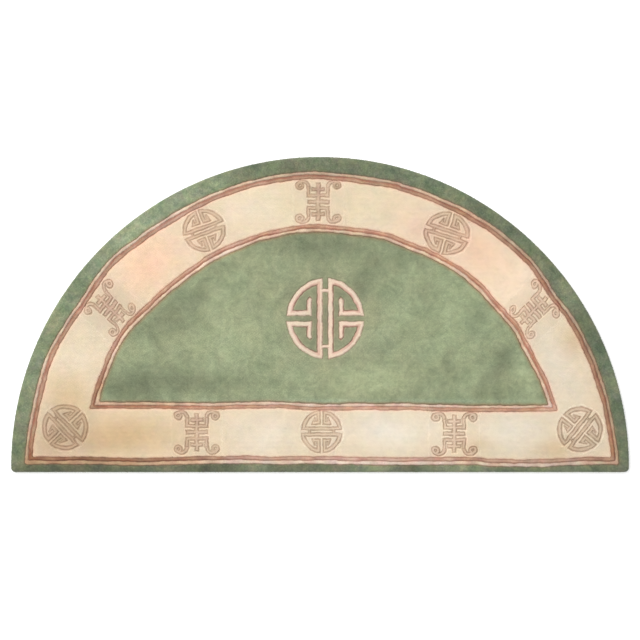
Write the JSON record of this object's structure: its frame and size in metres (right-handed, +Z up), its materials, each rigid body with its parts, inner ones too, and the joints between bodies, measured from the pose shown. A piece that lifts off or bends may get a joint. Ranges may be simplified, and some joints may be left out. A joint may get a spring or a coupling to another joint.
{
  "type": "half-round carved wool rug",
  "caption": "Half-round hearth rug in carved wool pile, with a plain band, two guard lines, a wide border and a plain field; lies flat on a floor.",
  "frame": {"origin": "on the surface the rug lies on, under the middle of its bounding box", "axes": "+X along the straight edge, +Y from the straight edge to the top of the round edge, +Z up out of the pile"},
  "size_m": [1.37, 0.699, 0.015],
  "materials": {
    "wool_pile": "cut wool pile, sage green with an ivory border and rust lines"
  },
  "bodies": {
    "root": {"rug": "wool_pile"}
  },
  "joints": []
}
